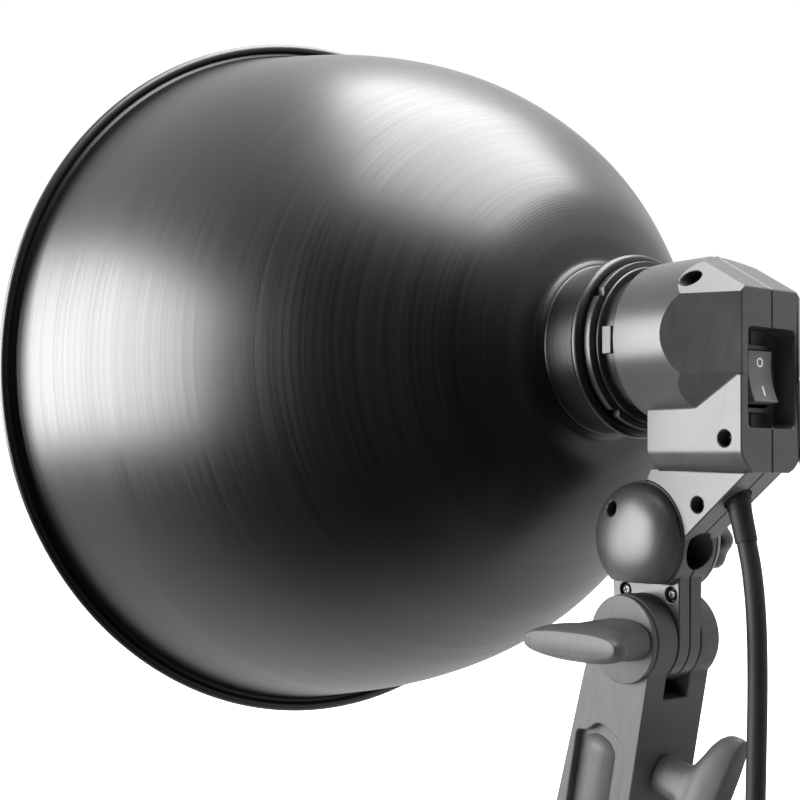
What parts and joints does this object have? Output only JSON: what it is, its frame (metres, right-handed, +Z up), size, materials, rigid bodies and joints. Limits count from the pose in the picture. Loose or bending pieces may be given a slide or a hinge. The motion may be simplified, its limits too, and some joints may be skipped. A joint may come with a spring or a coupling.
{
  "type": "studio lamp head",
  "caption": "Studio lamp head with a bowl reflector, screw lamp socket, rocker switch, umbrella hole, tilting stand bracket and mains cord.",
  "frame": {"origin": "centre of the mouth of the stand socket, where the bracket drops over a light stand stud", "axes": "+Z up along the stand socket, light shines toward -Y and 11.4 degrees down at rest, +X to the side with the tilt lever"},
  "size_m": [0.302, 0.3142, 0.4067],
  "materials": {
    "black_spun_aluminium": "satin black anodised outside with fine spinning grooves",
    "housing_plastic": "moulded satin black plastic with a fine grain",
    "bracket_plastic": "moulded glass-filled nylon, satin",
    "black_plastic": "smooth black plastic",
    "plated_steel": "zinc-plated steel",
    "blackened_steel": "black-oxide steel",
    "brass": "plain brass",
    "porcelain": "glazed white porcelain",
    "opal_glass": "opal white lamp glass",
    "friction_fibre": "pressed fibre",
    "cord_rubber": "black PVC mains cord",
    "wire_insulation": "coloured wire insulation"
  },
  "bodies": {
    "bracket": {"fork_bracket": "bracket_plastic", "stand_socket": "plated_steel", "stand_lock_nut": "plated_steel", "pivot_bolt": "plated_steel", "friction_disc_right": "friction_fibre", "friction_disc_left": "friction_fibre", "clamp_washer": "bracket_plastic", "cord": "cord_rubber", "cord_coil": "cord_rubber", "cord_tail": "cord_rubber", "cord_tie": "cord_rubber", "plug_body": "black_plastic", "plug_pin_left": "brass", "plug_pin_right": "brass"},
    "rocker": {"switch_rocker": "black_plastic"},
    "lock_ring": {"reflector_lock_ring": "black_plastic"},
    "umbrella_lock": {"umbrella_lock_knob": "black_plastic", "umbrella_lock_stud": "plated_steel"},
    "tilt_lever": {"tilt_lever": "bracket_plastic", "tilt_lever_insert": "brass"},
    "stand_lock": {"stand_lock_lever": "bracket_plastic", "stand_lock_screw": "plated_steel"},
    "head": {"reflector_dish": "black_spun_aluminium", "socket_sleeve": "black_plastic", "key_tab": "housing_plastic", "reflector_clamp_ring": "plated_steel", "socket_body": "porcelain", "screw_shell": "brass", "centre_contact": "brass", "bulb_cap": "brass", "bulb_glass": "opal_glass", "housing_right": "housing_plastic", "housing_left": "housing_plastic", "switch_frame": "black_plastic", "switch_terminal_upper": "brass", "switch_terminal_lower": "brass", "lead_live": "wire_insulation", "lead_switched": "wire_insulation", "lead_neutral": "wire_insulation", "umbrella_lock_nut": "brass", "strain_relief": "cord_rubber", "housing_screw_1": "blackened_steel", "housing_screw_2": "blackened_steel", "housing_screw_3": "blackened_steel", "housing_screw_4": "blackened_steel", "tongue_screw_1": "blackened_steel", "tongue_screw_2": "blackened_steel"}
  },
  "joints": [
    {"name": "head_tilt", "type": "hinge", "parent": "bracket", "child": "head", "pos_m": [0, 0.0053, 0.075], "axis": [1, 0, 0], "range_deg": [-75, 50], "deforming": ["cord"]},
    {"name": "tilt_lever_turn", "type": "hinge", "parent": "bracket", "child": "tilt_lever", "pos_m": [0.03, 0.0053, 0.075], "axis": [1, 0, 0], "range_deg": [-30, 150]},
    {"name": "stand_lock_turn", "type": "hinge", "parent": "bracket", "child": "stand_lock", "pos_m": [0, 0.03, 0.033], "axis": [0, 1, 0], "range_deg": [-30, 150]},
    {"name": "umbrella_lock_turn", "type": "hinge", "parent": "head", "child": "umbrella_lock", "pos_m": [-0.02, -0.00063, 0.10543], "axis": [1, 0, 0], "range_deg": [0, 360]},
    {"name": "switch_rock", "type": "hinge", "parent": "head", "child": "rocker", "pos_m": [0, 0.02781, 0.16319], "axis": [1, 0, 0], "range_deg": [-18, 0]},
    {"name": "reflector_lock", "type": "hinge", "parent": "head", "child": "lock_ring", "pos_m": [0, -0.0174, 0.16734], "axis": [0, -0.9803, -0.1977], "range_deg": [0, 60]}
  ]
}
